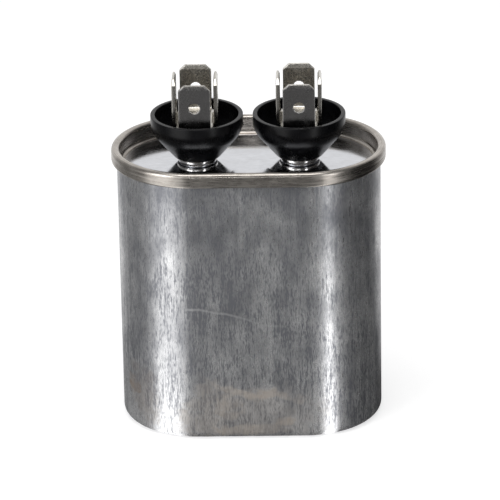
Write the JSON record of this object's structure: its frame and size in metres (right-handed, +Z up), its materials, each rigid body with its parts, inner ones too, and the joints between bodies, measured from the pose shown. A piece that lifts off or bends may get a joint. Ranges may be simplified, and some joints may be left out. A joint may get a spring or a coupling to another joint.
{
  "type": "motor run capacitor",
  "caption": "Oval metal-cased motor run capacitor with a rolled seam and two funnel-shaped insulators, each carrying upright quick-connect blades.",
  "frame": {"origin": "centre of the flat base that the can stands on", "axes": "+Z up towards the terminals, +X along the long side, -Y towards the front with the emboss"},
  "size_m": [0.0548, 0.0334, 0.0727],
  "materials": {
    "can_aluminium": "dull drawn aluminium with fine upright streaks and brown stains",
    "cover_tinplate": "satin tinplate, mirror-bright on the deck",
    "cup_plastic": "satin black moulding",
    "terminal_tinned": "tinned brass, speckled",
    "rivet_metal": "tinned",
    "gasket_rubber": "matte",
    "washer_plastic": "matte",
    "lug_brass": "tinned brass",
    "lead_copper": "bare drawn copper wire",
    "tube_plastic": "matte",
    "plate_phenolic": "matte phenolic board",
    "tray_plastic": "matte moulding",
    "liner_plastic": "matte insulating board",
    "film_plastic": "metallised film, wound",
    "spray_zinc": "sprayed zinc"
  },
  "bodies": {
    "root": {"can": "can_aluminium", "cover": "cover_tinplate", "left_cup": "cup_plastic", "right_cup": "cup_plastic", "left_terminal": "terminal_tinned", "right_terminal": "terminal_tinned", "left_rivet": "rivet_metal", "right_rivet": "rivet_metal", "left_gasket": "gasket_rubber", "right_gasket": "gasket_rubber", "left_inner_washer": "washer_plastic", "right_inner_washer": "washer_plastic", "left_lug": "lug_brass", "right_lug": "lug_brass", "left_lead": "lead_copper", "right_lead": "lead_copper", "lead_sleeve": "tube_plastic", "break_plate": "plate_phenolic", "top_insulator": "tray_plastic", "bottom_insulator": "tray_plastic", "insulating_sleeve": "liner_plastic", "winding": "film_plastic", "top_end_spray": "spray_zinc", "bottom_end_spray": "spray_zinc"}
  },
  "joints": []
}
